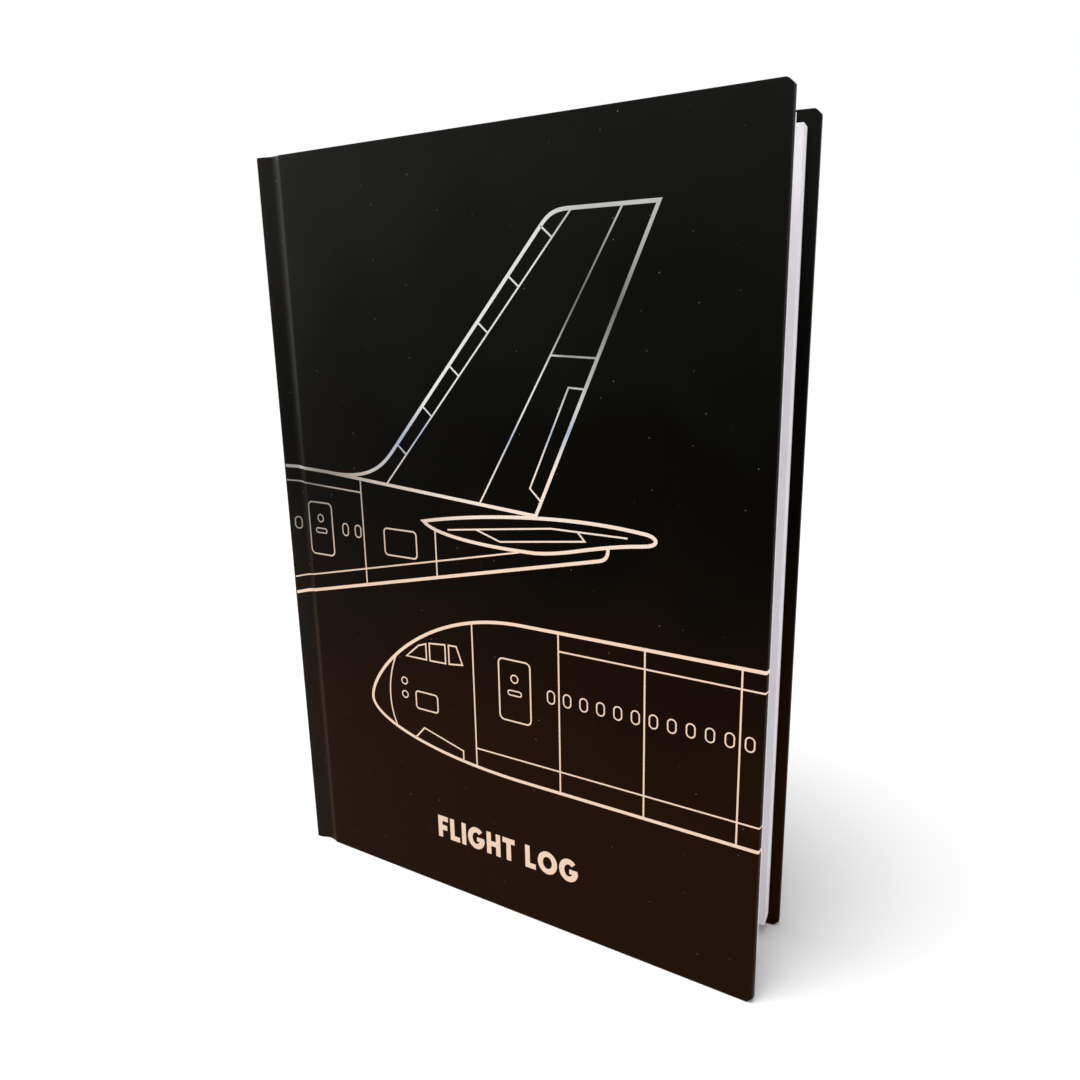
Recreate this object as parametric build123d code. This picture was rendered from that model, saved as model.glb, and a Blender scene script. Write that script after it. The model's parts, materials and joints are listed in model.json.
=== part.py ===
from build123d import *

import math
import os

# A case-bound A5 book, standing upright on its foot. Millimetres. X runs from the outer face of the spine
# (0) to the fore-edge, -Y is the front cover's outward side, +Y the back cover's, +Z is up and the foot
# stands at 0. Everything is laid out as the closed book, then the front cover and the front gatherings are
# swung open.

# Leaves
LEAF_WIDTH = 148.0
LEAF_HEIGHT = 210.0
LEAF_PITCH = 0.09
LEAF_GAP = 0.004  # air between two leaves of one gathering
SHEETS_PER_SECTION = 4  # folded sheets nested in one gathering, two leaves each
SECTIONS = 12
FRONT_SECTIONS = 4  # gatherings that turn with the front cover; the rest turn with the back cover

# Case
FORE_SQUARE = 3.0  # how far the covers stand out past the leaves at the fore-edge
SQUARE = 4.0  # how far they do so at head and foot
BOARD_THICKNESS = 2.0
SPINE_BOARD_THICKNESS = 1.5
WRAP = 0.2  # laminated paper around the boards
TURN_IN = 15.0  # wrap folded over onto the inside of a board
ENDPAPER = 0.15
MULL = 0.2  # gauze over the backs of the gatherings
MULL_REACH = 27.0  # of its flaps, onto the boards
MULL_MARGIN = 8.0  # short of the leaves at head and foot
LINER = 0.15
CORNER_CHAMFER = 1.4

# French groove, between the spine's shoulder and the board
SHOULDER_X = 3.0
GROOVE_FLOOR_START = 5.4
GROOVE_FLOOR_END = 7.2
BOARD_START = 9.4
GROOVE_RISE = 0.75  # the wrap's rounding at the shoulder and at the board's edge

# Bands, thread
BAND_TAPE_HEIGHT = 9.0
BAND_BEAD = 1.3
THREAD = 0.3
THREAD_STATIONS = 5
STITCH_LENGTH = 14.0

GAP = 0.01  # between glued pieces
SLIP = 0.02  # between pieces that move apart

# How far things stand open at rest
COVER_REST_ANGLE = 8.0
FLYLEAF_SHARE = 0.96  # of the cover's own angle
FRONT_SECTION_SHARES = [0.9, 0.8, 0.68, 0.54]

# Worked out
SECTION = 2 * SHEETS_PER_SECTION * LEAF_PITCH
SECTION_PITCH = SECTION + SLIP
BLOCK_HALF = SECTIONS * SECTION_PITCH / 2
FLYLEAF_OUT = BLOCK_HALF + ENDPAPER + SLIP
PASTEDOWN_IN = FLYLEAF_OUT + SLIP
PASTEDOWN_OUT = PASTEDOWN_IN + ENDPAPER
LINING_IN = PASTEDOWN_OUT + GAP  # mull flaps and turn-ins share this layer
LINING_OUT = LINING_IN + WRAP
BOARD_IN = LINING_OUT + GAP
BOARD_OUT = BOARD_IN + BOARD_THICKNESS
CASE_HALF = BOARD_OUT + GAP + WRAP
BACKS_X = SHOULDER_X
COVER_WIDTH = BACKS_X + LEAF_WIDTH + FORE_SQUARE
COVER_HEIGHT = LEAF_HEIGHT + 2 * SQUARE
HINGE_PROUD = 0.3  # hinge line in front of the cover's face, so that a cover folds flat beside the spine
HINGE_Y = CASE_HALF + HINGE_PROUD


def block(x, y, z):
    """A box between two limits on each axis."""
    size = [high - low for low, high in (x, y, z)]
    middle = [(high + low) / 2 for low, high in (x, y, z)]
    return Pos(*middle) * Box(*size)


def upright(points, foot, head):
    """An outline in X and Y, raised from foot to head."""
    outline = make_face(Polyline(*points, close=True))
    return Pos(0, 0, foot) * extrude(outline, amount=head - foot)


def sheet(points, thickness):
    """A closed outline for a thin sheet whose outer face follows the points, thickened on their left."""
    normals = []
    for (ax, ay), (bx, by) in zip(points, points[1:]):
        length = math.hypot(bx - ax, by - ay)
        normals.append((-(by - ay) / length, (bx - ax) / length))
    inner = []
    for index, (x, y) in enumerate(points):
        before = normals[max(index - 1, 0)]
        after = normals[min(index, len(normals) - 1)]
        spread = 1 + before[0] * after[0] + before[1] * after[1]
        shift = [(before[axis] + after[axis]) * thickness / spread for axis in (0, 1)]
        inner.append((x + shift[0], y + shift[1]))
    return points + inner[::-1]


def cut_corners(solid, inset):
    """Takes the two fore-edge corners off a cover piece, inset inside the cover's own cut corners."""
    reach = CORNER_CHAMFER + inset * math.sqrt(2)
    far_x = COVER_WIDTH
    for corner_z, inward in ((0, 1), (COVER_HEIGHT, -1)):
        points = [
            (far_x - reach, corner_z - inward),
            (far_x - reach, corner_z),
            (far_x, corner_z + inward * reach),
            (far_x + 1, corner_z + inward * reach),
            (far_x + 1, corner_z - inward),
        ]
        outline = Plane.XZ * make_face(Polyline(*points, close=True))
        solid -= extrude(outline, amount=2 * CASE_HALF, both=True)
    return solid


def board():
    """The front cover's greyboard, laid out closed."""
    inset = WRAP + GAP
    solid = block(
        (BOARD_START + GROOVE_RISE, COVER_WIDTH - inset),
        (-BOARD_OUT, -BOARD_IN),
        (inset, COVER_HEIGHT - inset),
    )
    return cut_corners(solid, inset)


def groove_profile():
    """The wrap's outer face from the spine's shoulder, through the groove, to the board's edge."""
    floor = -(LINING_OUT + GAP + WRAP)
    return [
        (SHOULDER_X + SLIP, -CASE_HALF),
        (SHOULDER_X + GROOVE_RISE, -CASE_HALF),
        (GROOVE_FLOOR_START, floor),
        (GROOVE_FLOOR_END, floor),
        (BOARD_START, -CASE_HALF + 3 * WRAP),
        (BOARD_START + 3 * WRAP, -CASE_HALF),
        (BOARD_START + 2 * GROOVE_RISE, -CASE_HALF),
    ]


def cover_wrap():
    """The wrap's front panel: the groove, the outer face, and the edges turned in around the board."""
    groove = upright(sheet(groove_profile(), WRAP), 0, COVER_HEIGHT)
    panel = block((BOARD_START + GROOVE_RISE, COVER_WIDTH), (-CASE_HALF, -LINING_IN), (0, COVER_HEIGHT))
    hollow = block(
        (0, COVER_WIDTH - WRAP),
        (-BOARD_OUT - GAP, -LINING_OUT),
        (WRAP, COVER_HEIGHT - WRAP),
    )
    window = block(
        (0, COVER_WIDTH - TURN_IN),
        (-BOARD_OUT, 0),
        (TURN_IN, COVER_HEIGHT - TURN_IN),
    )
    hinge_clearance = block(
        (0, MULL_REACH + GAP),
        (-LINING_OUT - GAP, 0),
        (MULL_MARGIN, COVER_HEIGHT - MULL_MARGIN),
    )
    hollow = cut_corners(hollow, WRAP)
    panel = cut_corners(panel - hollow - window - hinge_clearance, 0)
    return (groove + panel).clean()


def mull_flap():
    """The gauze flap between the board and the pastedown."""
    return block(
        (SHOULDER_X + SLIP, MULL_REACH),
        (-LINING_OUT, -LINING_IN),
        (SQUARE + MULL_MARGIN, COVER_HEIGHT - SQUARE - MULL_MARGIN),
    )


def pastedown():
    """The half of the endpaper that is glued inside the cover."""
    return block(
        (SHOULDER_X + SLIP, BACKS_X + LEAF_WIDTH),
        (-PASTEDOWN_OUT, -PASTEDOWN_IN),
        (SQUARE, COVER_HEIGHT - SQUARE),
    )


def flyleaf():
    """The loose half of the endpaper."""
    return block(
        (BACKS_X + SLIP, BACKS_X + LEAF_WIDTH),
        (-FLYLEAF_OUT, -FLYLEAF_OUT + ENDPAPER),
        (SQUARE, COVER_HEIGHT - SQUARE),
    )


def section(number):
    """One gathering, counted from the front: folded sheets nested in one another."""
    first_y = -BLOCK_HALF + number * SECTION_PITCH + SLIP / 2
    sheets = []
    for nest in range(SHEETS_PER_SECTION):
        back = BACKS_X + nest * LEAF_PITCH + SLIP
        low = first_y + nest * LEAF_PITCH + LEAF_GAP / 2
        high = first_y + SECTION - nest * LEAF_PITCH - LEAF_GAP / 2
        paper = LEAF_PITCH - LEAF_GAP
        outer = block((back, BACKS_X + LEAF_WIDTH), (low, high), (SQUARE, COVER_HEIGHT - SQUARE))
        inner = block((back + paper, COVER_WIDTH), (low + paper, high - paper), (0, COVER_HEIGHT))
        sheets.append(outer - inner)
    return Compound(children=sheets)


def spine_board():
    inset = WRAP + GAP
    return block(
        (inset, inset + SPINE_BOARD_THICKNESS),
        (-CASE_HALF + inset, CASE_HALF - inset),
        (inset, COVER_HEIGHT - inset),
    )


def spine_wrap():
    """The wrap's spine panel, its two shoulders, and its turn-ins at head and foot."""
    outer = block((0, SHOULDER_X - SLIP), (-CASE_HALF, CASE_HALF), (0, COVER_HEIGHT))
    inside_x = WRAP + SPINE_BOARD_THICKNESS + 2 * GAP
    hollow = block(
        (WRAP, inside_x),
        (-CASE_HALF + WRAP, CASE_HALF - WRAP),
        (WRAP, COVER_HEIGHT - WRAP),
    )
    behind = block(
        (inside_x + WRAP, SHOULDER_X),
        (-CASE_HALF + WRAP, CASE_HALF - WRAP),
        (-1, COVER_HEIGHT + 1),
    )
    window = block(
        (WRAP, SHOULDER_X),
        (-CASE_HALF + WRAP, CASE_HALF - WRAP),
        (TURN_IN, COVER_HEIGHT - TURN_IN),
    )
    return outer - hollow - behind - window


def against_backs(depth, thickness, half_width, foot, head):
    """A strip behind the backs of the gatherings, its near face depth away from them."""
    return block((BACKS_X - depth - thickness, BACKS_X - depth), (-half_width, half_width), (foot, head))


def sewing_thread():
    """Link stitches across the backs, one group at each sewing station."""
    span = (COVER_HEIGHT - 2 * STITCH_LENGTH) / THREAD_STATIONS
    strands = []
    for station in range(THREAD_STATIONS):
        middle = STITCH_LENGTH + (station + 0.5) * span
        for side in (-1, 1):
            height = middle + side * STITCH_LENGTH / 2
            strands.append(
                against_backs(SLIP, THREAD, BLOCK_HALF, height - THREAD / 2, height + THREAD / 2)
            )
    return Compound(children=strands)


def mull_back():
    depth = SLIP + THREAD + GAP
    return against_backs(depth, MULL, BLOCK_HALF, SQUARE + MULL_MARGIN, COVER_HEIGHT - SQUARE - MULL_MARGIN)


def spine_liner():
    depth = SLIP + THREAD + MULL + 2 * GAP
    return against_backs(depth, LINER, BLOCK_HALF, SQUARE, COVER_HEIGHT - SQUARE)


def head_band():
    """Woven tape behind the backs, with its bead lying on the head of the leaves."""
    head = COVER_HEIGHT - SQUARE
    tape = against_backs(SLIP, THREAD, BLOCK_HALF, head - BAND_TAPE_HEIGHT, head + SLIP)
    bead_x = (BACKS_X - SLIP - THREAD, BACKS_X - SLIP - THREAD + BAND_BEAD)
    bead = block(bead_x, (-BLOCK_HALF, BLOCK_HALF), (head + SLIP, head + SLIP + BAND_BEAD))
    return tape + bead


def opened(solid, angle):
    """A piece swung about the front hinge line, away from the block."""
    hinge = Axis((SHOULDER_X, -HINGE_Y, 0), (0, 0, -1))
    return solid.rotate(hinge, angle)


def nodes():
    """Every node's name and solid, in the book's resting pose."""
    middle = Plane.XZ
    foot_to_head = Plane.XY.offset(COVER_HEIGHT / 2)
    pieces = {
        "spine_board": spine_board(),
        "spine_wrap": spine_wrap(),
        "spine_mull": mull_back(),
        "spine_liner": spine_liner(),
        "sewing_thread": sewing_thread(),
        "head_band": head_band(),
        "tail_band": mirror(head_band(), about=foot_to_head),
    }
    cover = {
        "board": board(),
        "wrap": cover_wrap(),
        "mull_flap": mull_flap(),
        "pastedown": pastedown(),
    }
    for name, solid in cover.items():
        pieces["front_" + name] = opened(solid, COVER_REST_ANGLE)
        pieces["back_" + name] = mirror(solid, about=middle)
    pieces["front_flyleaf"] = opened(flyleaf(), COVER_REST_ANGLE * FLYLEAF_SHARE)
    pieces["back_flyleaf"] = mirror(flyleaf(), about=middle)
    for number in range(SECTIONS):
        solid = section(number)
        if number < FRONT_SECTIONS:
            solid = opened(solid, COVER_REST_ANGLE * FRONT_SECTION_SHARES[number])
        pieces[f"section_{number + 1:02d}"] = solid
    return pieces


os.makedirs("parts", exist_ok=True)
for name, solid in nodes().items():
    export_step(solid, f"parts/{name}.step")
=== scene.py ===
import json
import math
import random

import bmesh
import bpy
from mathutils import Matrix, Vector


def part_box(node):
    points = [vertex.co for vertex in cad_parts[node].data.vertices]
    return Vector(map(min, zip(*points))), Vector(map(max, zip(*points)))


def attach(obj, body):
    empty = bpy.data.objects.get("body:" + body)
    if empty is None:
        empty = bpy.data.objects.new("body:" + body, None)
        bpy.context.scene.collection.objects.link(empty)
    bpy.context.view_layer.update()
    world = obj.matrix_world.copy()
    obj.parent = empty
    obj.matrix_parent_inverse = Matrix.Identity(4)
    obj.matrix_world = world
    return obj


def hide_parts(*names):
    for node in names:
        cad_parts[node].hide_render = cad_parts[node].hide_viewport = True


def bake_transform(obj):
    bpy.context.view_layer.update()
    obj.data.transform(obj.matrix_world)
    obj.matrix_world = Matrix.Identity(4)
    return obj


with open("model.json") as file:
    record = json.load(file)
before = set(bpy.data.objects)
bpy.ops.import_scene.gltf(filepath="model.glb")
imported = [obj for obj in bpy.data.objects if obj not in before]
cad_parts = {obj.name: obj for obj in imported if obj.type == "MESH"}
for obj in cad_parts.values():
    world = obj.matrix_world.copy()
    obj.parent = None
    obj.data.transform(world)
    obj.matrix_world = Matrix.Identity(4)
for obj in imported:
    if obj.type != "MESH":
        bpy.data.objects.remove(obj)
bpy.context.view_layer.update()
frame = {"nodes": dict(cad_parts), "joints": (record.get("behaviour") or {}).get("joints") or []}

# ----------------------------------------------------------------------------------------------------------
# Sizes, in millimetres, of the book laid out closed. X runs from the spine to the fore-edge, Z from foot to
# head. Depth is the distance from the middle plane of the book, towards either cover.
# ----------------------------------------------------------------------------------------------------------
MM = 0.001


def box_mm(node):
    """A CAD node's lowest and highest corners."""
    low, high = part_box(node)
    return low / MM, high / MM


WRAP_LOW, WRAP_HIGH = box_mm("back_wrap")
PASTE_LOW, PASTE_HIGH = box_mm("back_pastedown")
FLY_LOW, FLY_HIGH = box_mm("back_flyleaf")
MULL_LOW, MULL_HIGH = box_mm("back_mull_flap")
FIRST_REAR_SECTION = 5  # the first gathering that stays closed at rest, so that its box is its closed place
REAR_LOW, REAR_HIGH = box_mm(f"section_{FIRST_REAR_SECTION:02d}")
NEXT_LOW, _ = box_mm(f"section_{FIRST_REAR_SECTION + 1:02d}")

WIDTH = WRAP_HIGH.x
HEIGHT = WRAP_HIGH.z
HALF = WRAP_HIGH.y
INSIDE = WRAP_LOW.y
SECTION_PITCH = NEXT_LOW.y - REAR_LOW.y
SECTIONS = len([node for node in frame["nodes"] if node.startswith("section_")])
SHEETS_PER_SECTION = 4
PAPER = (REAR_HIGH.y - REAR_LOW.y) / (2 * SHEETS_PER_SECTION)

# The case
SPINE_CORNER = 0.5
GROOVE_DEPTH = 0.65
GROOVE_DOWN = (1.2, 4.8)
GROOVE_UP = (4.8, 8.4)
GROOVE_SWEEP = 1.8  # above 1, the groove steepens towards the board's edge
JOINT_SKIN = 0.5
SPINE_THICKNESS = 1.93  # wrap, board and lining together
EDGE_RADIUS = 0.42
FORE_RADIUS = 0.5
CORNER_CHAMFER = 1.4
TURN_IN = 15.0

# Where card and paper bend when something turns
COVER_BEND = (2.5, 9.4)
LEAF_BEND = (3.0, 20.0)


# ----------------------------------------------------------------------------------------------------------
# Geometry helpers
# ----------------------------------------------------------------------------------------------------------
def smooth(value, start, end):
    """0 before start, 1 after end, and a smooth step between them."""
    t = min(1.0, max(0.0, (value - start) / (end - start)))
    return t * t * (3 - 2 * t)


def spread(start, end, longest):
    """Evenly spaced values from start to end, no further apart than longest."""
    count = max(1, math.ceil(abs(end - start) / longest - 1e-9))
    return [start + (end - start) * step / count for step in range(count + 1)]


def arc(centre, radius, start, end, steps):
    """Points on an arc, from start to end degrees."""
    angles = [math.radians(start + (end - start) * step / steps) for step in range(steps + 1)]
    return [(centre[0] + radius * math.cos(a), centre[1] + radius * math.sin(a)) for a in angles]


def curve(a, b, c, d, steps=24):
    """Points on a cubic curve from a to d, drawn towards b and c."""
    points = []
    for step in range(steps + 1):
        t = step / steps
        weights = ((1 - t) ** 3, 3 * t * (1 - t) ** 2, 3 * t * t * (1 - t), t ** 3)
        points.append(tuple(sum(w * p[axis] for w, p in zip(weights, (a, b, c, d))) for axis in (0, 1)))
    return points


def between(a, b, share):
    """The place a share of the way from a to b."""
    return tuple(p + (q - p) * share for p, q in zip(a, b))


def beside(a, b, distance):
    """The line from a to b, moved to its right."""
    length = math.dist(a, b)
    shift = ((b[1] - a[1]) / length * distance, (a[0] - b[0]) / length * distance)
    return tuple(p + s for p, s in zip(a, shift)), tuple(p + s for p, s in zip(b, shift))


def meet(first, second):
    """Where two lines cross, each given by two points."""
    (ax, ay), (bx, by) = first
    (cx, cy), (dx, dy) = second
    rx, ry, sx, sy = bx - ax, by - ay, dx - cx, dy - cy
    t = ((cx - ax) * sy - (cy - ay) * sx) / (rx * sy - ry * sx)
    return ax + rx * t, ay + ry * t


# Each moving body's hinge line, and how far its place at rest is turned from shut
HINGES = {}
for joint in frame["joints"]:
    HINGES[joint["child"]] = {
        "x": joint["pos_m"][0] / MM,
        "y": joint["pos_m"][1] / MM,
        "rest": math.radians(-joint["range_deg"][0]) * joint["axis"][2],
    }


def swing(point, body, share):
    """Takes a point of the closed book to its place at rest: share of its body's own turn."""
    hinge = HINGES[body]
    angle = hinge["rest"] * share
    x, y = point[0] - hinge["x"], point[1] - hinge["y"]
    turned_x = x * math.cos(angle) - y * math.sin(angle)
    turned_y = x * math.sin(angle) + y * math.cos(angle)
    return hinge["x"] + turned_x, hinge["y"] + turned_y, point[2]


def make_piece(name, points, faces, body, bend, look, slot, sharp=35):
    """A mesh from closed-book points. With a bend it starts on the spine and ends on body, else it rides."""
    placed = points
    if body in HINGES:
        shares = [smooth(p[0], *bend) if bend else 1.0 for p in points]
        placed = [swing(p, body, share) for p, share in zip(points, shares)]
    mesh = bpy.data.meshes.new(name)
    mesh.from_pydata([tuple(c * MM for c in p) for p in placed], [], faces)
    closed = mesh.attributes.new("closed_mm", "FLOAT_VECTOR", "POINT")
    closed.data.foreach_set("vector", [c for p in points for c in p])
    work = bmesh.new()
    work.from_mesh(mesh)
    bmesh.ops.recalc_face_normals(work, faces=work.faces)
    work.to_mesh(mesh)
    work.free()
    mesh.shade_smooth()
    mesh.set_sharp_from_angle(angle=math.radians(sharp))
    mesh.materials.append(look)
    piece = bpy.data.objects.new(name, mesh)
    bpy.context.scene.collection.objects.link(piece)
    if bend:
        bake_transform(piece)
    else:
        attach(piece, body)
    return piece


def loft(rings, cap=True):
    """Points and faces of a skin over closed rings that all have the same number of points."""
    count = len(rings[0])
    points = [p for ring in rings for p in ring]
    faces = []
    for level in range(len(rings) - 1):
        for index in range(count):
            after = (index + 1) % count
            low, high = level * count, (level + 1) * count
            faces.append((low + index, low + after, high + after, high + index))
    if cap:
        faces.append(tuple(range(count))[::-1])
        faces.append(tuple(range((len(rings) - 1) * count, len(rings) * count)))
    return points, faces


def merge(parts):
    """One list of points and one of faces from several."""
    points, faces = [], []
    for part_points, part_faces in parts:
        offset = len(points)
        points += part_points
        faces += [tuple(offset + index for index in face) for face in part_faces]
    return points, faces


# ----------------------------------------------------------------------------------------------------------
# Materials
# ----------------------------------------------------------------------------------------------------------
class Look:
    """A node material that is built up step by step. Its place is in millimetres, on the closed book."""

    def __init__(self, name, roughness, metallic=0.0, specular=0.5, on_cad=False):
        self.material = bpy.data.materials.new(name)
        self.material.use_nodes = True
        self.tree = self.material.node_tree
        self.shader = self.tree.nodes["Principled BSDF"]
        self.shader.inputs["Roughness"].default_value = roughness
        self.shader.inputs["Metallic"].default_value = metallic
        self.shader.inputs["Specular IOR Level"].default_value = specular
        if on_cad:
            metres = self.node("ShaderNodeTexCoord").outputs["Object"]
            self.place = self.maths3("MULTIPLY", metres, [1 / MM] * 3)
        else:
            self.place = self.node("ShaderNodeAttribute", attribute_name="closed_mm").outputs["Vector"]
        self.normal = None

    def node(self, kind, **settings):
        made = self.tree.nodes.new(kind)
        for key, value in settings.items():
            setattr(made, key, value)
        return made

    def feed(self, value, target):
        """Joins an output to an input, or sets the input to a plain value."""
        if isinstance(value, (int, float)):
            target.default_value = value
        elif isinstance(value, (tuple, list)):
            target.default_value = (*value, 1.0) if len(target.default_value) == 4 else value
        else:
            self.tree.links.new(value, target)

    def maths(self, operation, first, second=0.0):
        made = self.node("ShaderNodeMath", operation=operation)
        self.feed(first, made.inputs[0])
        self.feed(second, made.inputs[1])
        return made.outputs[0]

    def maths3(self, operation, first, second):
        made = self.node("ShaderNodeVectorMath", operation=operation)
        self.feed(first, made.inputs[0])
        self.feed(second, made.inputs[1])
        return made.outputs[0]

    def axes(self, source=None):
        """The separate X, Y and Z of the place, or of another vector."""
        split = self.node("ShaderNodeSeparateXYZ")
        self.feed(source or self.place, split.inputs[0])
        return split.outputs

    def noise(self, size, detail=3.0, stretch=(1.0, 1.0, 1.0)):
        """Noise with features about size millimetres across. A stretch below 1 draws it out on that axis."""
        made = self.node("ShaderNodeTexNoise")
        self.feed(self.maths3("MULTIPLY", self.place, stretch), made.inputs["Vector"])
        made.inputs["Scale"].default_value = 1.0 / size
        made.inputs["Detail"].default_value = detail
        return made.outputs["Fac"]

    def remap(self, value, low, high, to_low=0.0, to_high=1.0):
        """Maps low to to_low and high to to_high, evenly, and holds the ends."""
        made = self.node("ShaderNodeMapRange")
        self.feed(value, made.inputs["Value"])
        for key, number in zip(("From Min", "From Max", "To Min", "To Max"), (low, high, to_low, to_high)):
            made.inputs[key].default_value = number
        return made.outputs["Result"]

    def grain(self, value, to_low=0.0, to_high=1.0):
        """Spreads a noise's middle range over the range that is wanted."""
        return self.remap(value, 0.3, 0.7, to_low, to_high)

    def hump(self, value, middle, width):
        """1 at the middle, falling to 0 at width from it."""
        away = self.maths("ABSOLUTE", self.maths("SUBTRACT", value, middle))
        return self.remap(away, 0.0, width, 1.0, 0.0)

    def mix(self, factor, first, second):
        made = self.node("ShaderNodeMix", data_type="RGBA")
        colour_inputs, colour_output = (6, 7), 2  # the node has sockets of the same names for other types
        self.feed(factor, made.inputs["Factor"])
        self.feed(first, made.inputs[colour_inputs[0]])
        self.feed(second, made.inputs[colour_inputs[1]])
        return made.outputs[colour_output]

    def bump(self, height, distance_mm):
        """Adds a height to the surface, on top of any that was added before."""
        made = self.node("ShaderNodeBump")
        made.inputs["Distance"].default_value = distance_mm * MM
        self.feed(height, made.inputs["Height"])
        if self.normal:
            self.feed(self.normal, made.inputs["Normal"])
        self.normal = made.outputs["Normal"]

    def done(self, colour, roughness=None):
        self.feed(colour, self.shader.inputs["Base Color"])
        if roughness:
            self.feed(roughness, self.shader.inputs["Roughness"])
        if self.normal:
            self.feed(self.normal, self.shader.inputs["Normal"])
        return self.material


def laminate():
    """Black paper under a matt film with painted reflections, lighter at the head and brown-black towards the
    foot; a painted light strip along the spine, a painted sheen down the joint low on the cover, and fine
    dust.
    """
    look = Look("matt_laminate", roughness=0.5, specular=0.02)
    across, depth, height = look.axes()
    cloud = look.noise(40, 2)
    drift = look.maths("ADD", height, look.grain(cloud, -14, 14))
    # Painted reflection in the base colour: lighter black towards the head, warm brown-black towards the
    # foot.
    upper = look.mix(look.remap(drift, 145, 215), (0.0008, 0.0006, 0.0001), (0.0060, 0.0065, 0.0054))
    painted_reflection_black = look.mix(look.remap(drift, 125, 45), upper, (0.0106, 0.0033, 0.0003))
    # Painted light: the strip between the spine's edge and the groove is lightened in patches, to a tone that
    # is darkest about 150 mm up.
    painted_strip_light = look.maths("MULTIPLY", look.remap(across, 6.5, 3.5), look.grain(cloud, 0.35, 0.6))
    shoulder = look.mix(look.hump(drift, 150, 60), (0.016, 0.014, 0.012), (0.005, 0.005, 0.004))
    # Painted sheen: a warm light streak down the groove by the board's edge, from below the middle to the
    # foot.
    joint = look.maths("MULTIPLY", look.hump(across, 7.5, 1.5), look.remap(drift, 125, 75))
    film = look.mix(painted_strip_light, painted_reflection_black, shoulder)
    film = look.mix(look.maths("MULTIPLY", joint, 0.6), film, (0.040, 0.024, 0.013))
    cell_size, speck_radius = 12.0, 0.15
    cells = look.node("ShaderNodeTexVoronoi", voronoi_dimensions="2D")
    flat = look.node("ShaderNodeCombineXYZ")
    look.feed(look.maths("ADD", across, depth), flat.inputs["X"])
    look.feed(height, flat.inputs["Y"])
    look.feed(flat.outputs["Vector"], cells.inputs["Vector"])
    cells.inputs["Scale"].default_value = 1 / cell_size
    speck = look.maths("LESS_THAN", cells.outputs["Distance"], speck_radius / cell_size)
    strength = look.remap(look.axes(cells.outputs["Color"])[0], 0.3, 1.0, 0.0, 0.8)
    dust = look.maths("MULTIPLY", speck, strength)
    fine = look.noise(0.5, 2)
    shine = look.maths("ADD", look.grain(cloud, 0.42, 0.50), look.grain(fine, -0.03, 0.03))
    look.bump(cloud, 0.05)
    look.bump(fine, 0.006)
    return look.done(look.mix(dust, film, (0.16, 0.15, 0.13)), shine)


def foil():
    """Hot-stamped silver foil with painted reflections: neutral at the head, rosy at the foot, with a bluish
    band and dark grey patches between.
    """
    look = Look("silver_foil", roughness=0.24, metallic=1.0)
    across, _, height = look.axes()
    drift = look.maths("ADD", height, look.grain(look.noise(30, 1), -8, 8))
    # Painted reflection: the foil turns rosy towards the foot.
    silver = look.mix(look.remap(drift, 146, 108), (0.72, 0.71, 0.68), (0.76, 0.56, 0.42))
    # Painted reflection: a bluish band across the foil, about 137 mm up.
    cool = look.mix(look.hump(drift, 137, 9), silver, (0.36, 0.42, 0.56))
    # Painted reflection: dark grey patches by the rudder and near the spine.
    by_rudder = look.maths("MULTIPLY", look.hump(drift, 172, 36), look.remap(across, 94, 101))
    by_spine = look.maths("MULTIPLY", look.hump(drift, 121, 32), look.remap(across, 72, 12))
    dark_reflection_patches = look.maths("MAXIMUM", by_rudder, by_spine)
    shade = look.mix(look.maths("MULTIPLY", dark_reflection_patches, 0.95), cool, (0.12, 0.12, 0.115))
    grain = look.noise(0.35, 3)
    look.bump(look.noise(2.2, 2), 0.012)
    look.bump(grain, 0.002)
    return look.done(shade, look.grain(grain, 0.20, 0.32))


def leaf_paper():
    """White uncoated paper with faint printed rules between its margins."""
    look = Look("leaf_paper", roughness=0.88, specular=0.2)
    across, _, height = look.axes()
    fibre = look.noise(0.4, 4, (1.0, 1.0, 0.35))
    sheet = look.mix(look.grain(look.noise(12, 3)), (0.76, 0.735, 0.775), (0.80, 0.775, 0.81))
    rule_pitch, rule_width = 7.0, 0.22
    line = look.maths("LESS_THAN", look.maths("MODULO", height, rule_pitch), rule_width)
    for value, test, limit in (
        (across, "GREATER_THAN", 12.0), (across, "LESS_THAN", WIDTH - 4.5),
        (height, "GREATER_THAN", 13.0), (height, "LESS_THAN", HEIGHT - 17.0),
    ):
        line = look.maths("MULTIPLY", line, look.maths(test, value, limit))
    colour = look.mix(look.maths("MULTIPLY", line, 0.55), sheet, (0.40, 0.44, 0.53))
    look.bump(fibre, 0.006)
    return look.done(colour, look.grain(fibre, 0.82, 0.94))


def end_paper(name, over_turn_ins):
    """Near-black navy endpaper with a felt surface. Where it's pasted down, the turn-ins show through it."""
    look = Look(name, roughness=0.7, specular=0.12)
    fibre = look.noise(0.3, 4, (1.0, 1.0, 0.4))
    lint = look.maths("GREATER_THAN", look.noise(0.9, 2, (1.0, 1.0, 0.25)), 0.74)
    navy = look.mix(look.grain(look.noise(18, 3)), (0.0042, 0.0048, 0.0062), (0.0066, 0.0072, 0.0092))
    look.bump(fibre, 0.01)
    if over_turn_ins:
        across, _, height = look.axes()
        from_fore = look.maths("SUBTRACT", WIDTH, across)
        from_end = look.maths("MINIMUM", height, look.maths("SUBTRACT", HEIGHT, height))
        from_edge = look.maths("MINIMUM", from_fore, from_end)
        look.bump(look.remap(from_edge, TURN_IN - 0.3, TURN_IN + 0.5, 1.0, 0.0), 0.14)
    return look.done(look.mix(lint, navy, (0.05, 0.05, 0.055)), look.grain(fibre, 0.62, 0.78))


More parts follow.
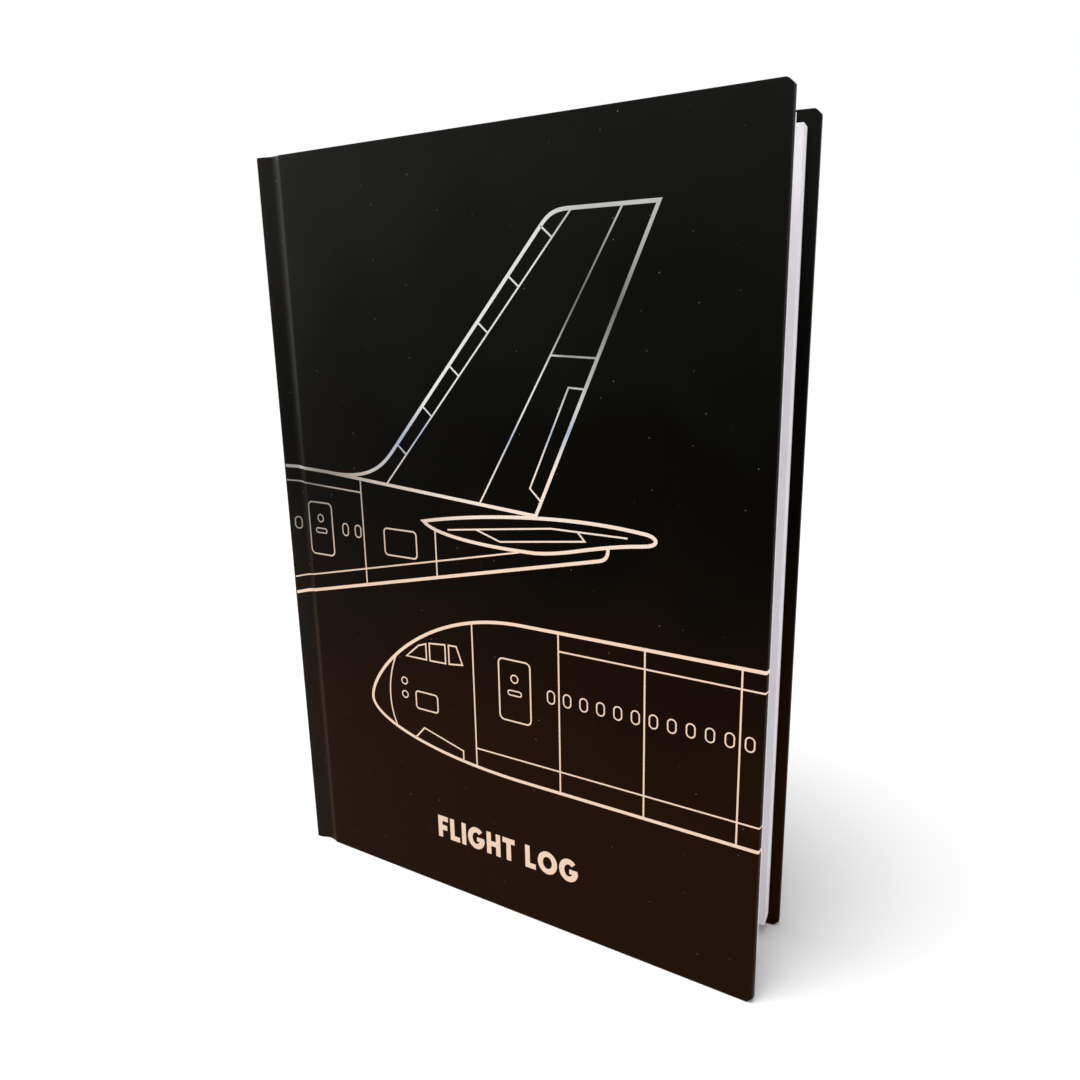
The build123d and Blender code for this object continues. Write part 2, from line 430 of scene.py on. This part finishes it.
def grey_board():
    """Recycled grey board with flecks."""
    look = Look("grey_board", roughness=0.9, specular=0.2, on_cad=True)
    grain = look.noise(0.6, 5)
    grey = look.mix(look.grain(grain), (0.25, 0.235, 0.21), (0.40, 0.38, 0.34))
    fleck = look.remap(look.noise(1.8, 2), 0.66, 0.70, 0.0, 0.6)
    look.bump(grain, 0.05)
    return look.done(look.mix(fleck, grey, (0.10, 0.09, 0.08)))


def weave(name, light, dark, thread):
    """Plain weave, one thread to every thread millimetres."""
    look = Look(name, roughness=0.9, specular=0.2, on_cad=True)
    across, depth, height = look.axes()
    rate = 2 * math.pi / thread
    warp = look.maths("SINE", look.maths("MULTIPLY", height, rate))
    weft = look.maths("SINE", look.maths("MULTIPLY", look.maths("ADD", across, depth), rate))
    crossing = look.maths("MULTIPLY", warp, weft)
    look.bump(crossing, 0.08)
    return look.done(look.mix(look.remap(crossing, -1, 1), dark, light))


def lining_paper():
    """Brown kraft paper."""
    look = Look("kraft_lining", roughness=0.85, specular=0.2, on_cad=True)
    fibre = look.noise(0.7, 5, (1.0, 1.0, 0.2))
    look.bump(fibre, 0.02)
    return look.done(look.mix(look.grain(fibre), (0.36, 0.24, 0.13), (0.50, 0.36, 0.21)))


BAND_TURN = 0.8


def band_weave():
    """A head band's bead: turns of navy and white thread side by side."""
    look = Look("band_weave", roughness=0.8, specular=0.25)
    turns = look.maths("MODULO", look.maths("ADD", look.axes()[1], 100 * BAND_TURN), 2 * BAND_TURN)
    fuzz = look.noise(0.12, 3)
    white = look.mix(look.grain(fuzz), (0.60, 0.60, 0.58), (0.76, 0.76, 0.74))
    navy = look.mix(look.grain(fuzz), (0.010, 0.013, 0.025), (0.020, 0.025, 0.045))
    look.bump(fuzz, 0.03)
    return look.done(look.mix(look.maths("LESS_THAN", turns, BAND_TURN), white, navy))


LAMINATE = laminate()
FOIL = foil()
LEAF = leaf_paper()
FLYLEAF = end_paper("navy_flyleaf", over_turn_ins=False)
PASTEDOWN = end_paper("navy_pastedown", over_turn_ins=True)
GREYBOARD = grey_board()
GAUZE = weave("mull_gauze", (0.78, 0.76, 0.68), (0.40, 0.38, 0.33), 1.1)
THREAD = weave("linen_thread", (0.85, 0.82, 0.74), (0.55, 0.52, 0.45), 0.3)
KRAFT = lining_paper()
BAND = band_weave()


# ----------------------------------------------------------------------------------------------------------
# The case: one laminated skin, in two halves that meet down the middle of the spine
# ----------------------------------------------------------------------------------------------------------
def outer_depth(x):
    """Depth of the case's outer face: the spine's shoulder, the French groove, then the board."""
    climb = min(1.0, max(0.0, (x - GROOVE_UP[0]) / (GROOVE_UP[1] - GROOVE_UP[0])))
    return HALF - GROOVE_DEPTH * (smooth(x, *GROOVE_DOWN) - climb ** GROOVE_SWEEP)


def case_outline():
    """The half case's cross-section, as x and depth, from the spine's outside round to its inside."""
    spine_step, groove_step, inner_step, board_step = 1.2, 0.28, 0.35, 9
    flat_start = GROOVE_UP[1] + 0.4
    path = [(0.0, depth) for depth in spread(0, HALF - SPINE_CORNER, spine_step)]
    path += arc((SPINE_CORNER, HALF - SPINE_CORNER), SPINE_CORNER, 180, 90, 5)[1:]
    path += [(x, outer_depth(x)) for x in spread(SPINE_CORNER, flat_start, groove_step)[1:]]
    path += [(x, HALF) for x in spread(flat_start + 0.8, WIDTH - FORE_RADIUS, board_step)]
    path += arc((WIDTH - FORE_RADIUS, HALF - FORE_RADIUS), FORE_RADIUS, 90, 0, 6)[1:]
    path += arc((WIDTH - FORE_RADIUS, INSIDE + FORE_RADIUS), FORE_RADIUS, 0, -90, 5)
    path += [(x, INSIDE) for x in spread(WIDTH - 2, flat_start + 1, board_step)]
    for x in spread(flat_start + 0.9, SPINE_THICKNESS + JOINT_SKIN, inner_step):
        path.append((x, min(HALF - 2 * JOINT_SKIN, max(INSIDE, outer_depth(x) - JOINT_SKIN))))
    path += [(SPINE_THICKNESS, depth) for depth in spread(HALF - 2 * JOINT_SKIN, 0, spine_step)]
    return path


def inset(path, amount):
    """The same outline moved inwards, but hardly where it's thin. It rounds the edges at head and foot."""
    thin_amount = 0.18
    moved = []
    for index, (x, depth) in enumerate(path):
        before = path[max(index - 1, 0)]
        after = path[min(index + 1, len(path) - 1)]
        along = (after[0] - before[0], after[1] - before[1])
        length = math.hypot(*along) or 1.0
        thin = smooth(x, 1.5, 3.0) * (1 - smooth(x, GROOVE_UP[1] - 2.0, GROOVE_UP[1]))
        reach = amount + (min(amount, thin_amount) - amount) * thin
        moved.append((x + along[1] / length * reach, depth - along[0] / length * reach))
    return moved


def edge_levels():
    """Heights from foot to head, each with how far the outline is drawn in there."""
    round_steps, level_step = 5, 10
    low = []
    for step in range(round_steps + 1):
        angle = math.radians(90 * step / round_steps)
        low.append((EDGE_RADIUS * (1 - math.cos(angle)), EDGE_RADIUS * (1 - math.sin(angle))))
    low.append((CORNER_CHAMFER, 0.0))
    middle = [(z, 0.0) for z in spread(CORNER_CHAMFER, HEIGHT - CORNER_CHAMFER, level_step)[1:-1]]
    return low + middle + [(HEIGHT - z, amount) for z, amount in reversed(low)]


def case_half(name, side, body, *nodes):
    """The skin of one cover with its half of the spine. Side is -1 for the front, 1 for the back."""
    outline = case_outline()
    corner_start, corner_reach = WIDTH - 8, 7
    rings = []
    for z, amount in edge_levels():
        cut = max(0.0, CORNER_CHAMFER - min(z, HEIGHT - z))
        ring = []
        for x, depth in inset(outline, amount):
            near_corner = min(1.0, max(0.0, (x - corner_start) / corner_reach))
            ring.append((x - cut * near_corner, side * max(depth, 0.0), z))
        rings.append(ring)
    piece = make_piece(name, *loft(rings), body, COVER_BEND, LAMINATE, "wrap", sharp=50)
    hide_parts(*nodes)


case_half("case_wrap_front", -1, "front_cover", "front_wrap", "spine_wrap")
case_half("case_wrap_back", 1, "back_cover", "back_wrap")


# ----------------------------------------------------------------------------------------------------------
# Foil stamping: thin strips and plates that lie on the case. The art is a plain airliner, seen from its side
# ----------------------------------------------------------------------------------------------------------
FOIL_LIFT = 0.028
FOIL_ROOT = 0.03
THICK = 0.95
THIN = 0.46
FINE = 0.38
GROOVE_END = GROOVE_UP[1] + 0.5
EDGE_START = WIDTH - FORE_RADIUS


def foil_step(x):
    """The longest step of a foil line at x: short where the case bends, by the groove and the fore-edge."""
    if x < GROOVE_END:
        return 0.3
    if x > EDGE_START:
        return 0.12
    return 6.0


def densify(path, closed):
    """Adds points over the groove and round the fore-edge, so that a strip follows the case's bends."""
    dense = []
    for a, b in list(zip(path, path[1:])) + ([(path[-1], path[0])] if closed else []):
        stops = [a]
        for limit in (GROOVE_END, EDGE_START):
            if (a[0] - limit) * (b[0] - limit) < 0:
                stops.append(between(a, b, (limit - a[0]) / (b[0] - a[0])))
        stops = sorted(stops, key=lambda stop: math.dist(a, stop)) + [b]
        for start, end in zip(stops, stops[1:]):
            longest = foil_step((start[0] + end[0]) / 2)
            shares = spread(0, 1, longest / max(math.dist(start, end), 1e-6))
            dense += [between(start, end, share) for share in shares[:-1]]
    return dense if closed else dense + [path[-1]]


def strip_edges(path, width, closed):
    """Left and right edges of a line of that width, mitred at its corners."""
    edges = []
    count = len(path)
    sharpest = 0.35  # holds back the mitre of a sharp corner
    for index, place in enumerate(path):
        before = path[index - 1] if index or closed else place
        after = path[(index + 1) % count] if index < count - 1 or closed else place
        normals = []
        for a, b in ((before, place), (place, after)):
            length = math.dist(a, b)
            if length > 1e-9:
                normals.append(((a[1] - b[1]) / length, (b[0] - a[0]) / length))
        first, last = normals[0], normals[-1]
        mitre = max(sharpest, 1 + first[0] * last[0] + first[1] * last[1])
        shift = [(first[axis] + last[axis]) / mitre * width / 2 for axis in (0, 1)]
        edges.append((
            (place[0] + shift[0], place[1] + shift[1]),
            (place[0] - shift[0], place[1] - shift[1]),
        ))
    return edges


class Stamp:
    """Foil shapes that share one piece. Place turns x, z and a lift into a point of the closed book."""

    def __init__(self, place):
        self.place = place
        self.parts = []

    def lift(self):
        """Each shape lies a hair higher or lower than its neighbours, so that no two faces coincide."""
        return FOIL_LIFT + 0.0015 * (len(self.parts) % 7)

    def line(self, path, width, closed=False):
        top, root = self.lift(), -FOIL_ROOT
        rings = []
        for left, right in strip_edges(densify(path, closed), width, closed):
            corners = ((left, top), (right, top), (right, root), (left, root))
            rings.append([self.place(*corner, lift) for corner, lift in corners])
        points, faces = loft(rings, cap=not closed)
        if closed:
            last = (len(rings) - 1) * 4
            faces += [(last + i, last + (i + 1) % 4, (i + 1) % 4, i) for i in range(4)]
        self.parts.append((points, faces))

    def plate(self, outline):
        lifts = (-FOIL_ROOT, self.lift())
        self.parts.append(loft([[self.place(x, z, lift) for x, z in outline] for lift in lifts]))

    def finish(self, name, body, bend):
        make_piece(name, *merge(self.parts), body, bend, FOIL, "wrap", sharp=40)


def on_cover(side):
    """Places foil on a cover's outer face, over the groove, and round the fore-edge."""
    quarter = FORE_RADIUS * math.pi / 2

    def place(x, z, lift):
        beyond = x - EDGE_START
        if beyond <= 0:
            return x, side * (outer_depth(x) + lift), z
        if beyond < quarter:
            turn, reach = beyond / FORE_RADIUS, FORE_RADIUS + lift
            depth = HALF - FORE_RADIUS + reach * math.cos(turn)
            return EDGE_START + reach * math.sin(turn), side * depth, z
        return WIDTH + lift, side * (HALF - FORE_RADIUS - (beyond - quarter)), z

    return place


def on_spine(x, z, lift):
    """Places foil on the spine, where x is measured across it, towards the front cover."""
    return -lift, -x, z


def rounded(x0, z0, x1, z1, radius):
    """A rectangle's outline with round corners."""
    path = []
    corners = (
        ((x1 - radius, z0 + radius), -90), ((x1 - radius, z1 - radius), 0),
        ((x0 + radius, z1 - radius), 90), ((x0 + radius, z0 + radius), 180),
    )
    for centre, start in corners:
        path += arc(centre, radius, start, start + 90, 6)
    return path


def draw_door(stamp, x, z, width, height):
    """A cabin door with a round window and a lever below it."""
    stamp.line(rounded(x - width / 2, z - height / 2, x + width / 2, z + height / 2, 1.5), THIN, closed=True)
    stamp.line(arc((x, z + height * 0.2), 1.15, 0, 345, 18), FINE, closed=True)
    stamp.line(rounded(x - 2.2, z - 1.3, x + 2.2, z + 0.1, 0.65), FINE, closed=True)


WINDOW_PITCH = 5.05


def draw_window(stamp, x, z):
    """A cabin window: an upright slot with round ends."""
    half_width, half_height = 1.12, 1.85
    outline = rounded(x - half_width, z - half_height, x + half_width, z + half_height, half_width * 0.98)
    stamp.line(outline, FINE, closed=True)


def draw_fin(stamp, crown):
    """Fin and rudder, standing on the crown line."""
    leading = ((46.0, 138.6), (94.6, 193.6))
    top = ((102.4, 197.0), (125.4, 197.0))
    foot = (91.6, crown[1][1] + 0.2)
    fillet = curve((17.5, 128.6), (36.5, 126.8), (41.0, 132.9), leading[0], 18)
    tip = curve(leading[1], (97.0, 196.3), (98.8, 197.0), top[0], 8)
    stamp.line(fillet + tip + [top[1], foot], THICK)
    strip = beside(*leading, 4.2)
    stamp.line([meet(strip, crown), meet(strip, top)], THIN)
    ribs = 6
    for rib in range(ribs):
        share = rib / (ribs - 1)
        stamp.line([between(*leading, share), between(*strip, share)], THIN)
    hinge = ((112.4, 190.0), (71.4, 120.0))
    hinge_top, hinge_foot = meet(hinge, top), meet(hinge, crown)
    stamp.line([hinge_top, hinge_foot], THIN)
    trailing = (top[1], foot)
    split = 0.46
    stamp.line([between(hinge_top, hinge_foot, split), between(*trailing, split)], THIN)
    inner = beside(*trailing, 4.4)
    tab = [between(*trailing, 0.56), between(*inner, 0.58), between(*inner, 0.93), between(*trailing, 0.95)]
    stamp.line(tab, THIN)


def draw_tailplane(stamp):
    """The tailplane, seen along its own plane, with its elevator and tab."""
    root, kink = (54.0, 117.2), (91.0, 112.4)
    tip_top, tip_foot = (123.4, 121.0), (122.4, 118.0)
    upper = curve(root, (66.0, 119.8), (98.0, 124.4), tip_top, 24)
    end = curve(tip_top, (126.6, 120.2), (126.2, 118.4), tip_foot, 8)
    under = curve(tip_foot, (108.0, 116.4), (101.0, 113.0), kink, 12)
    front = curve(kink, (76.0, 112.2), (58.0, 113.4), root, 18)
    stamp.line(upper + end[1:] + under[1:] + front[1:-1], THICK, closed=True)
    stamp.line([(62.5, 115.6), (96.0, 119.6), (118.0, 119.5)], THIN)
    stamp.line([(72.0, 116.8), (80.0, 114.2), (106.0, 117.3), (104.0, 119.5)], THIN)


def draw_rear(stamp):
    """The rear of an airliner from its side: crown, belly and tail cone, two frames, a door and windows."""
    start = 0.7
    crown = ((33.0, 127.3), (92.0, 122.4))
    belly = ((start, 88.4), (109.6, 112.6))
    cone = curve(belly[1], (112.0, 113.1), (112.6, 114.0), (112.6, 116.3), 8)
    stamp.line([(start, 129.4), (17.5, 128.6), *crown], THICK)
    stamp.line([belly[0], *cone], THICK)
    draw_fin(stamp, crown)
    draw_tailplane(stamp)
    stringer_top = ((start, 124.9), (31.0, 123.4))
    stringer_low = ((start, 93.6), (86.0, 112.0))
    for x, ceiling in ((31.0, crown), (58.0, ((58.0, 115.0), (66.0, 113.4)))):
        upright = ((x, 0), (x, 1))
        stamp.line([meet(upright, belly), meet(upright, ceiling)], THIN)
    stamp.line(stringer_top, THIN)
    stamp.line(stringer_low, THIN)
    door_x, window_z = 13.6, 111.4
    draw_door(stamp, door_x, 110.6, 9.6, 16.4)
    for place in (-2, 2, 3):
        draw_window(stamp, door_x + WINDOW_PITCH * place, window_z)
    stamp.line(rounded(39.0, 105.6, 51.0, 113.6, 1.2), THIN, closed=True)


def draw_nose(stamp):
    """The front of the airliner, running off the fore-edge: radome, flight deck, door and windows."""
    off_edge = EDGE_START + 2.2
    crown, belly = 91.4, 44.2
    tip = (30.2, 58.6)
    upper = curve(tip, (30.2, 67.4), (52.0, crown), (86.0, crown), 34)
    lower = curve(tip, (30.2, 51.6), (53.0, belly), (86.0, belly), 34)
    stamp.line([(off_edge, belly)] + lower[::-1] + upper[1:] + [(off_edge, crown)], THICK)
    stamp.line(curve((39.4, 51.4), (36.6, 57.0), (36.6, 66.0), (40.6, 74.2), 12), THIN)
    bulkhead = 69.4
    first_window, window_z, windows = 95.2, 72.4, 12
    frames = [first_window + WINDOW_PITCH * (place + 0.5) for place in (0, 5, 10)]
    stamp.line([(bulkhead, 44.9), (bulkhead, 89.4)], THIN)
    for x in frames:
        stamp.line([(x, belly), (x, crown)], THIN)
    for z in (crown - 5.2, belly + 6.6):
        stamp.line([(bulkhead if z < window_z else frames[0], z), (off_edge, z)], THIN)
    draw_flight_deck(stamp)
    draw_door(stamp, 83.4, 71.6, 10.4, 18.4)
    for index in range(windows):
        draw_window(stamp, first_window + WINDOW_PITCH * index, window_z)


def draw_flight_deck(stamp):
    """Three cockpit panes, and below them a hatch, two ports and the nose gear's door."""
    for pane in (
        [(44.8, 74.9), (52.4, 75.0), (52.4, 80.0), (49.6, 79.0)],
        [(53.7, 75.0), (59.5, 75.2), (59.5, 81.0), (53.7, 80.4)],
        [(60.8, 75.3), (65.6, 75.9), (63.6, 81.2), (60.8, 81.1)],
    ):
        stamp.line(pane, THIN, closed=True)
    stamp.line(rounded(47.6, 58.6, 55.8, 64.2, 1.0), THIN, closed=True)
    for port in range(2):
        stamp.line(arc((43.4, 66.6 - 4.4 * port), 1.1, 0, 345, 15), FINE, closed=True)
    stamp.line([(46.6, 48.6), (50.2, 52.6), (64.6, 48.6), (64.6, 45.4)], THIN)


TITLE = "FLIGHT LOG"
LETTER_WIDTHS = {"F": 0.56, "L": 0.53, "I": 0.235, "G": 0.90, "H": 0.73, "T": 0.64, "O": 0.94, " ": 0.30}
STROKE = 0.235


def letter_plates(letter):
    """Outlines of a block letter's straight shapes, one unit high."""
    w, s = LETTER_WIDTHS[letter], STROKE
    low_bar = 0.35
    bar = 0.5 - s / 2
    stem, chin = (w - s) / 2, w * 0.54
    shelf = 0.36
    shelf_top = shelf + s * 0.85
    shapes = {
        "F": [(0, 0), (s, 0), (s, low_bar), (w - 0.06, low_bar), (w - 0.06, low_bar + s), (s, low_bar + s),
              (s, 1 - s), (w, 1 - s), (w, 1), (0, 1)],
        "L": [(0, 0), (w, 0), (w, s), (s, s), (s, 1), (0, 1)],
        "I": [(0, 0), (s, 0), (s, 1), (0, 1)],
        "H": [(0, 0), (s, 0), (s, bar), (w - s, bar), (w - s, 0), (w, 0), (w, 1), (w - s, 1),
              (w - s, bar + s), (s, bar + s), (s, 1), (0, 1)],
        "T": [(stem, 0), (stem + s, 0), (stem + s, 1 - s), (w, 1 - s), (w, 1), (0, 1), (0, 1 - s),
              (stem, 1 - s)],
        "G": [(chin, shelf), (w - 0.02, shelf), (w - 0.02, shelf_top), (chin, shelf_top)],
    }
    return [shapes[letter]] if letter in shapes else []


def letter_bowls(letter):
    """Centre lines of a block letter's round strokes, each with whether it is closed."""
    across, up = (LETTER_WIDTHS[letter] - STROKE) / 2, (1 - STROKE) / 2
    sweep = {"O": (0, 342, True), "G": (44, 356, False)}.get(letter)
    if not sweep:
        return []
    start, end, closed = sweep
    ring = arc((0, 0), 1, start, end, 26)
    return [([(STROKE / 2 + across * (1 + x), 0.5 + up * y) for x, y in ring], closed)]


def write(stamp, words, height, length, settle):
    """Sets words in block letters. Settle turns a place along the line and above it into the stamp's x, z."""
    gap = 0.12
    total = sum(LETTER_WIDTHS[letter] for letter in words) + gap * (len(words) - 1)
    stretch = length / total
    start = -length / 2
    for letter in words:
        for outline in letter_plates(letter):
            stamp.plate([settle(start + x * stretch, z * height) for x, z in outline])
        for path, closed in letter_bowls(letter):
            stamp.line([settle(start + x * stretch, z * height) for x, z in path], STROKE * height, closed)
        start += (LETTER_WIDTHS[letter] + gap) * stretch


def front_foil():
    """The line art, and the title centred below it."""
    stamp = Stamp(on_cover(-1))
    draw_rear(stamp)
    draw_nose(stamp)
    middle, foot = 78.3, 17.0
    height, length = 7.3, 49.4
    write(stamp, TITLE, height, length, lambda along, up: (middle + along, foot + up))
    stamp.finish("foil_front_cover", "front_cover", COVER_BEND)


def spine_foil():
    """The title again, read from head to foot, with the letters' tops towards the front cover."""
    stamp = Stamp(on_spine)
    middle = 177.5
    height, length = 6.8, 48.0
    write(stamp, TITLE, height, length, lambda along, up: (up - height / 2, middle - along))
    stamp.finish("foil_spine_title", "spine", None)


def back_foil():
    """A plain imprint in place of the maker's: rules and a small block, with no lettering."""
    stamp = Stamp(on_cover(1))
    stamp.plate(rounded(78.5, 27.0, 98.5, 28.0, 0.45))
    stamp.plate(rounded(71.5, 26.4, 76.0, 28.6, 0.5))
    stamp.plate(rounded(67.5, 20.6, 100.5, 23.4, 1.2))
    stamp.finish("foil_back_imprint", "back_cover", None)


front_foil()
spine_foil()
back_foil()


# ----------------------------------------------------------------------------------------------------------
# Endpapers, mull and leaves
# ----------------------------------------------------------------------------------------------------------
def sheet(low, high, side):
    """A sheet that fills a closed-book box, mirrored to a side, cut finely near the spine where it bends."""
    depths = sorted((side * low.y, side * high.y))
    fine_end, fine_step = LEAF_BEND[1] + 4, 0.6
    coarse_start, coarse_step = LEAF_BEND[1] + 10, 18
    rings = []
    for x in spread(low.x, fine_end, fine_step) + spread(coarse_start, high.x, coarse_step):
        rings.append([
            (x, depths[0], low.z), (x, depths[1], low.z), (x, depths[1], high.z), (x, depths[0], high.z),
        ])
    return loft(rings)


def case_linings():
    """On each side: the pastedown, the flyleaf and the mull's flap."""
    hair = Vector((0, 0.01, 0))
    paste_box, fly_box = (PASTE_LOW, PASTE_HIGH), (FLY_LOW, FLY_HIGH)
    mull_box = (MULL_LOW + hair, MULL_HIGH - hair)
    for side, end in ((-1, "front"), (1, "back")):
        for name, node, box, body, bend, look, slot in (
            ("pastedown_paper", "pastedown", paste_box, "cover", COVER_BEND, PASTEDOWN, "endpaper"),
            ("flyleaf_paper", "flyleaf", fly_box, "endleaf", LEAF_BEND, FLYLEAF, "endpaper"),
            ("mull_gauze", "mull_flap", mull_box, "cover", COVER_BEND, GAUZE, "gauze"),
        ):
            piece = make_piece(f"{end}_{name}", *sheet(*box, side), f"{end}_{body}", bend, look, slot)
            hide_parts(f"{end}_{node}")


def folded_sheet(depths, back, fore_edges, foot, head):
    """One folded sheet: two leaves joined by a fold at the spine. Fore_edges are where its two leaves end."""
    air, steps = 0.006, 24
    thickness = PAPER - air
    shares = [(step / steps) ** 2 for step in range(steps + 1)]
    outer, inner = [], []
    for fore_edge, depth, inward, order in (
        (fore_edges[0], depths[0], 1, reversed(shares)), (fore_edges[1], depths[1], -1, shares),
    ):
        for share in order:
            outer.append((back + (fore_edge - back) * share, depth))
            inner_x = back + thickness + (fore_edge - back - thickness) * share
            inner.append((inner_x, depth + inward * thickness))
    return loft([[(*a, foot), (*a, head), (*b, head), (*b, foot)] for a, b in zip(outer, inner)])


def gatherings():
    """The sewn gatherings, each cut a hair unevenly, as trimmed paper is."""
    uneven = random.Random(11)
    most_off = {"fore_edge": 0.10, "end": 0.05}
    for number in range(1, SECTIONS + 1):
        near = REAR_LOW.y + (number - FIRST_REAR_SECTION) * SECTION_PITCH
        far = near + REAR_HIGH.y - REAR_LOW.y
        sheets = []
        for nest in range(SHEETS_PER_SECTION):
            shift = nest * PAPER
            fore_edges = [REAR_HIGH.x - uneven.uniform(0, most_off["fore_edge"]) for _ in range(2)]
            foot = REAR_LOW.z + uneven.uniform(0, most_off["end"])
            head = REAR_HIGH.z - uneven.uniform(0, most_off["end"])
            depths, back = (near + shift, far - shift), REAR_LOW.x + shift
            sheets.append(folded_sheet(depths, back, fore_edges, foot, head))
        name = f"{number:02d}"
        piece = make_piece(f"gathering_{name}", *merge(sheets), f"leaves_{name}", LEAF_BEND, LEAF, "leaves")
        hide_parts(f"section_{name}")


case_linings()
gatherings()


# ----------------------------------------------------------------------------------------------------------
# Head and tail bands, and the CAD pieces that stay as they are
# ----------------------------------------------------------------------------------------------------------
def band(name, node, up):
    """A woven bead on the ends of the backs, with its tape glued down behind them. Up is 1 at the head."""
    low, high = box_mm(node)
    radius = (high.x - low.x) / 2
    end = high.z if up > 0 else low.z
    tape_end = low.z if up > 0 else high.z
    centre = (low.x + radius, end - up * radius)
    tape_thickness = 0.28
    dip, sides, step = 0.1, 30, 0.1
    bead = []
    for y in spread(low.y, high.y, step):
        swell = 1 - dip + dip * abs(math.sin(math.pi * y / BAND_TURN))
        ring = arc(centre, radius * swell, 0, 360 - 360 / sides, sides - 1)
        bead.append([(x, y, z) for x, z in ring])
    tape_x = (low.x, low.x + tape_thickness)
    corners = (
        (tape_x[0], tape_end), (tape_x[1], tape_end), (tape_x[1], centre[1]), (tape_x[0], centre[1]),
    )
    tape = [[(x, y, z) for x, z in corners] for y in (low.y, high.y)]
    piece = make_piece(name, *merge([loft(bead), loft(tape)]), "spine", None, BAND, "band")
    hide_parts(node)


band("head_band_weave", "head_band", 1)
band("tail_band_weave", "tail_band", -1)

for node, look in (
    ("spine_board", GREYBOARD), ("front_board", GREYBOARD), ("back_board", GREYBOARD), ("spine_mull", GAUZE),
    ("spine_liner", KRAFT), ("sewing_thread", THREAD),
):
    for material_slot in frame["nodes"][node].material_slots:
        material_slot.material = look


# ----------------------------------------------------------------------------------------------------------
# Floor, light and camera
# ----------------------------------------------------------------------------------------------------------
def floor():
    """A plain pale floor with the faintest mottling."""
    reach = 8.0
    mesh = bpy.data.meshes.new("floor")
    corners = [(-reach, -reach, 0), (reach, -reach, 0), (reach, reach, 0), (-reach, reach, 0)]
    mesh.from_pydata(corners, [], [(0, 1, 2, 3)])
    look = Look("floor_paper", roughness=0.9, specular=0.1, on_cad=True)
    mesh.materials.append(look.done(look.mix(look.grain(look.noise(150, 2)), (0.86,) * 3, (0.88,) * 3)))
    plane = bpy.data.objects.new("floor", mesh)
    bpy.context.scene.collection.objects.link(plane)


def aim_light(name, light, place, aim):
    rig = bpy.data.objects.new(name, light)
    rig.location = place
    rig.rotation_euler = (Vector(aim) - Vector(place)).to_track_quat("-Z", "Y").to_euler()
    bpy.context.scene.collection.objects.link(rig)
    return rig


def soft_box(name, place, aim, power, colour, size):
    light = bpy.data.lights.new(name, "AREA")
    light.energy = power
    light.color = colour
    light.size = size
    return aim_light(name, light, place, aim)


def overhead(strength):
    """Even light from above, which whitens the floor out to its horizon."""
    light = bpy.data.lights.new("overhead", "SUN")
    light.energy = strength
    light.angle = math.radians(40)
    aim_light("overhead", light, (-0.3, -0.5, 1.6), (0, 0, 0))


def surroundings():
    """Soft, weak light from all round. The camera and the reflections see it as plain white."""
    world = bpy.data.worlds.new("studio")
    world.use_nodes = True
    tree = world.node_tree
    fill = tree.nodes["Background"]
    fill.inputs["Color"].default_value = (1.0, 1.0, 1.0, 1.0)
    rays = tree.nodes.new("ShaderNodeLightPath")
    strength = tree.nodes.new("ShaderNodeMapRange")
    sharp_rays = tree.nodes.new("ShaderNodeMath")
    sharp_rays.operation = "MAXIMUM"
    tree.links.new(rays.outputs["Is Camera Ray"], sharp_rays.inputs[0])
    tree.links.new(rays.outputs["Is Glossy Ray"], sharp_rays.inputs[1])
    tree.links.new(sharp_rays.outputs[0], strength.inputs["Value"])
    strength.inputs["To Min"].default_value = 0.32
    strength.inputs["To Max"].default_value = 1.0
    tree.links.new(strength.outputs["Result"], fill.inputs["Strength"])
    bpy.context.scene.world = world


# The camera's place and aim, from the foot of the open front cover's spine edge: across, up and out
CAMERA_PLACE = (211.7, 173.3, 190.6)
CAMERA_AIM = (92.7, 116.2, 0.0)
CAMERA_ROLL = -1.17
FOCAL_PIXELS = 890.0  # focal length over the size of a pixel, in a frame FRAME_PIXELS wide
FRAME_PIXELS = 1080


def beside_cover(across, up, out):
    """A place given from the open front cover's outer face, in metres."""
    return Vector(swing((across, -HALF - out, up), "front_cover", 1.0)) * MM


def camera():
    lens = bpy.data.cameras.new("camera")
    lens.sensor_width = 36.0
    lens.lens = FOCAL_PIXELS / FRAME_PIXELS * lens.sensor_width
    lens.clip_start = 0.01
    eye, aim = beside_cover(*CAMERA_PLACE), beside_cover(*CAMERA_AIM)
    roll = Matrix.Rotation(math.radians(CAMERA_ROLL), 3, "Z")
    turn = (aim - eye).to_track_quat("-Z", "Y").to_matrix() @ roll
    rig = bpy.data.objects.new("camera", lens)
    rig.matrix_world = Matrix.Translation(eye) @ turn.to_4x4()
    bpy.context.scene.collection.objects.link(rig)
    bpy.context.scene.camera = rig


BOOK_MIDDLE = (WIDTH * MM / 2, 0.0, HEIGHT * MM / 2)
floor()
surroundings()
overhead(2.9)
spine_light = soft_box("spine_light", beside_cover(-900, 330, 60), BOOK_MIDDLE, 12.0, (1.0, 0.98, 0.95), 0.6)
spine_light.visible_diffuse = False
soft_box("fore_edge_light", (0.85, -0.55, 0.45), BOOK_MIDDLE, 3.2, (1.0, 0.97, 0.98), 0.6)
front_fill = soft_box("front_fill", beside_cover(-600, 600, 500), BOOK_MIDDLE, 2.0, (1.0, 0.99, 0.97), 0.8)
front_fill.visible_glossy = False
camera()
bpy.context.scene.view_settings.view_transform = "Standard"
